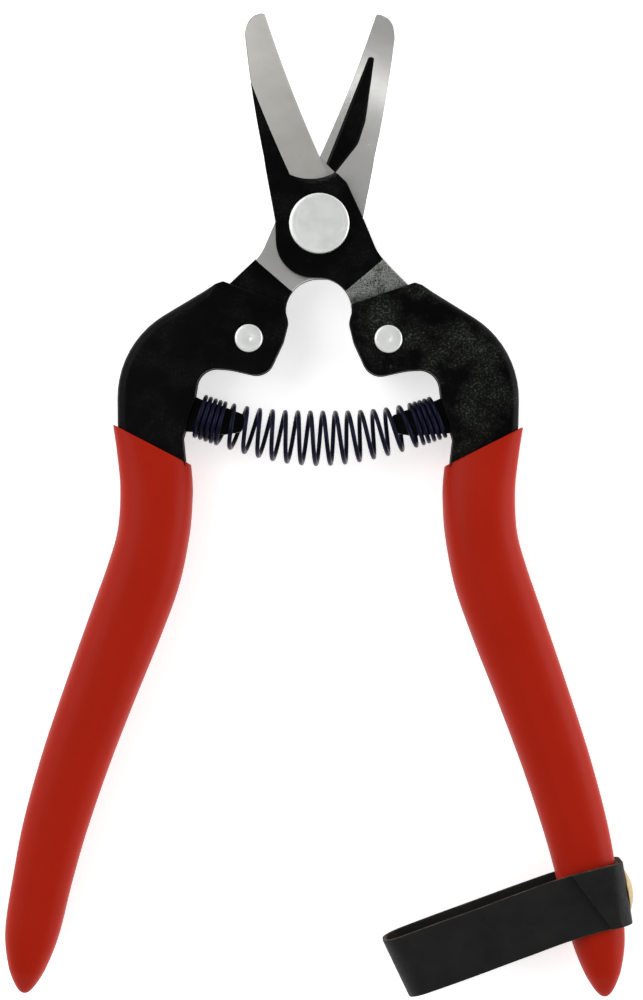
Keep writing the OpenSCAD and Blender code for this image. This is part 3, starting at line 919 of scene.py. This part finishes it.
def strap_centre(s):
    """A point of the strap's centre line, s from the grip's outer edge inwards, and the unit
    vector across the strap there. The folds are not square to the strap."""
    hinge = (np.array(SWING) - np.array(PIVOT))[:2] / MM - np.array([0, STRAP_DROP])
    fine = np.linspace(-4, HINGE_INSET + LOOP_L + 2, 400)
    angle = np.radians(np.interp(fine, *STRAP_LINE_ANGLES))
    along = -np.column_stack([np.cos(angle), np.sin(angle)])
    run = np.vstack([[0, 0], np.cumsum((along[1:] + along[:-1]) / 2 * np.diff(fine)[:, None], axis=0)])
    run += hinge - np.array([np.interp(HINGE_INSET, fine, run[:, k]) for k in (0, 1)])
    at = np.array([np.interp(s, fine, run[:, k]) for k in (0, 1)])
    a = math.radians(np.interp(s, *STRAP_ACROSS_ANGLES))
    return at, np.array([-math.sin(a), math.cos(a)])


def strap_section():
    """The strip's cross-section as (across, thickness) points, with rounded corners."""
    half_w, half_t, r = STRAP_W / 2, STRAP_T / 2, STRAP_CORNER_R
    flat = np.linspace(-half_w + r, half_w - r, 15)
    turn = np.linspace(0, math.pi / 2, 4)
    section = [(w, half_t) for w in flat]
    section += [(half_w - r + r * math.sin(t), half_t - r + r * math.cos(t)) for t in turn[1:]]
    section += [(half_w - r + r * math.cos(t), -half_t + r - r * math.sin(t)) for t in turn]
    section += [(w, -half_t) for w in flat[::-1][1:]]
    section += [(-half_w + r - r * math.sin(t), -half_t + r - r * math.cos(t)) for t in turn[1:]]
    section += [(-half_w + r - r * math.cos(t), half_t - r + r * math.sin(t)) for t in turn[:-1]]
    return section


def strap(hide, edge):
    """One strip, wound as it is worn: its cut end lies on the front over the handle, it goes round
    the outside, along the back, round the free fold, and back under its own cut end."""
    over, under = STRAP_Z + STRAP_T * 1.55, STRAP_Z + STRAP_T / 2
    wrap = STRAP_OUTER_FACE + STRAP_T / 2
    inner_wrap = wrap + STRAP_T * 1.03
    far = HINGE_INSET + LOOP_L - STRAP_T / 2
    route = [(STRAP_CUT[0], over, 0), (wrap, over, 2.6), (wrap, -under, 2.4), (12, -under, 12),
             (25, -under - 0.35, 30), (far, -under, 3.4), (far, under, 3.4), (25, under + 0.35, 30),
             (12, under, 12), (inner_wrap, under, 2), (inner_wrap, -2.6, 0)]
    bends = zip(route[:1] + route, route, route[1:] + route[-1:])
    line = resampled([p for a, b, c in bends for p in corner_points(a, b, c)], 0.55, closed=False)
    along = np.gradient(line, axis=0)
    along /= np.linalg.norm(along, axis=1, keepdims=True)
    out = np.column_stack([along[:, 1], -along[:, 0]])
    section = strap_section()
    rings = []
    for i, ((s, z), (ns, nz)) in enumerate(zip(line, out)):
        on_cut_end = z > over - 0.1 and i < len(line) / 2
        skew = STRAP_CUT[1] * np.clip(s / STRAP_CUT[0], 0, 1) if on_cut_end else 0
        ring = []
        for w, t in section:
            sway = 0.12 * math.sin(0.21 * i + 0.35 * w) * smoothstep((s - 14) / 6)
            at, across = strap_centre(s + ns * t + skew * w)
            ring.append((*(at + across * w), z + nz * (t + sway)))
        rings.append(ring)
    points, faces = tube(rings)
    edge_w = STRAP_W / 2 - STRAP_CORNER_R * 0.7
    pairs = zip(section, section[1:] + section[:1])
    around = [int(min(abs(a[0]), abs(b[0])) > edge_w) for a, b in pairs]
    slots = around * (len(rings) - 1) + [1] * (2 * len(section))
    piece = add_piece("strap", points, faces, None, "strap_loop", [hide, edge],
                      face_slots=slots, sharp=50, ride=False)
    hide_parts("strap_anchor")
    (a, _), (b, _) = strap_centre(2.5), strap_centre(15)
    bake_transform(piece)


def strap_rivet(metal):
    at, across = strap_centre(STRAP_OUTER_FACE)
    axis = (across[1], -across[0], 0)
    dome_r = (STRAP_HEAD_R ** 2 + STRAP_HEAD_H ** 2) / (2 * STRAP_HEAD_H)
    dome = [(r, STRAP_HEAD_H - dome_r + math.sqrt(dome_r ** 2 - r ** 2))
            for r in np.linspace(0, STRAP_HEAD_R - 0.12, 14)]
    shank_r, shank_l = STRAP_SHANK
    profile = dome + [(STRAP_HEAD_R, 0.1), (STRAP_HEAD_R - 0.03, -0.02), (STRAP_HEAD_R - 0.2, -0.08),
                      (shank_r, -0.05), (shank_r, -shank_l), (0, -shank_l)]
    points, faces = lathe(profile, (*at, 0), axis, 72)
    add_piece("strap_rivet", points, faces, "right_half", "strap_rivet", [metal], sharp=40)


# ---------------------------------------------------------------- stage

def area_light(name, offset, size, power):
    """A white light at an offset in metres from the middle of the object, aimed at it."""
    place = CENTRE + Vector(offset)
    data = bpy.data.lights.new(name, "AREA")
    data.shape = "RECTANGLE"
    data.size, data.size_y = size
    data.energy = power
    light = bpy.data.objects.new(name, data)
    light.location = place
    light.rotation_euler = (CENTRE - place).to_track_quat("-Z", "Y").to_euler()
    bpy.context.scene.collection.objects.link(light)


def world_light():
    """Soft room light: greyer overhead, brighter towards the walls."""
    world = bpy.data.worlds.new("soft_room")
    world.use_nodes = True
    tree = world.node_tree
    place = tree.nodes.new("ShaderNodeTexCoord")
    split = tree.nodes.new("ShaderNodeSeparateXYZ")
    shade = tree.nodes.new("ShaderNodeValToRGB")
    tree.links.new(place.outputs["Generated"], split.inputs[0])
    tree.links.new(split.outputs["Z"], shade.inputs["Fac"])
    tree.links.new(shade.outputs["Color"], tree.nodes["Background"].inputs["Color"])
    for element, position, grey in zip(shade.color_ramp.elements, (0.25, 0.85), (1, 0.3)):
        element.position = position
        element.color = (grey, grey, grey, 1)
    tree.nodes["Background"].inputs["Strength"].default_value = 0.95
    bpy.context.scene.world = world


def add_floor():
    half, z = 3.0, min(0.0, CAD_BOX[0].z) - 0.0002
    corners = [(-half, -half, z), (half, -half, z), (half, half, z), (-half, half, z)]
    mesh = bpy.data.meshes.new("floor")
    mesh.from_pydata(corners, [], [(0, 1, 2, 3)])
    mesh.materials.append(pale_floor())
    floor = bpy.data.objects.new("floor", mesh)
    bpy.context.scene.collection.objects.link(floor)


def add_camera():
    data = bpy.data.cameras.new("camera")
    data.lens = 100
    data.sensor_width = 36
    data.clip_start = 0.01
    camera = bpy.data.objects.new("camera", data)
    camera.location = CENTRE + Vector((0, 0, 0.5))
    camera.rotation_euler = (0, 0, math.radians(0.35))
    bpy.context.scene.collection.objects.link(camera)
    bpy.context.scene.camera = camera


def build():
    # Painted shade: the front blade's ground steel is a darker copy of the same steel as the back
    # blade's lapped steel, so that its ground face looks less lit
    outer = ground_steel("ground_steel", (0.45, 0.44, 0.41), (0.51, 0.5, 0.47), 0.34, 0.44, 0.12)
    mating = ground_steel("lapped_steel", (0.7, 0.695, 0.665), (0.77, 0.765, 0.74), 0.2, 0.26, 0.01)
    coat, worn_coat = black_oxide("black_oxide", 0.1), black_oxide("worn_black_oxide", 0.55)
    steel, vinyl, joggle = rivet_steel(), red_vinyl(), rubbed_oxide()
    blade("front_blade", 1, False, "right_half", [outer, coat, joggle])
    blade("back_blade", -1, True, "left_half", [mating, coat, joggle])
    pivot_rivet(steel)
    pivot_washer(steel)
    for side, side_coat in (("left", coat), ("right", worn_coat)):
        channel(side, side_coat)
        spring_horn(side, coat)
        tang_rivet(side, steel)
        grip(side, vinyl)
    return_spring(spring_steel())
    strap(black_leather(), leather_edge())
    strap_rivet(brass())


build()
world_light()
area_light("key", (-0.75, 0.4, 0.75), (0.9, 0.9), 6)
area_light("fill", (1.05, 0.05, 0.32), (0.9, 0.9), 7.5)
area_light("strip", (-0.1, -0.15, 0.95), (0.5, 0.08), 0.25)
add_floor()
add_camera()
bpy.context.scene.view_settings.view_transform = "Standard"
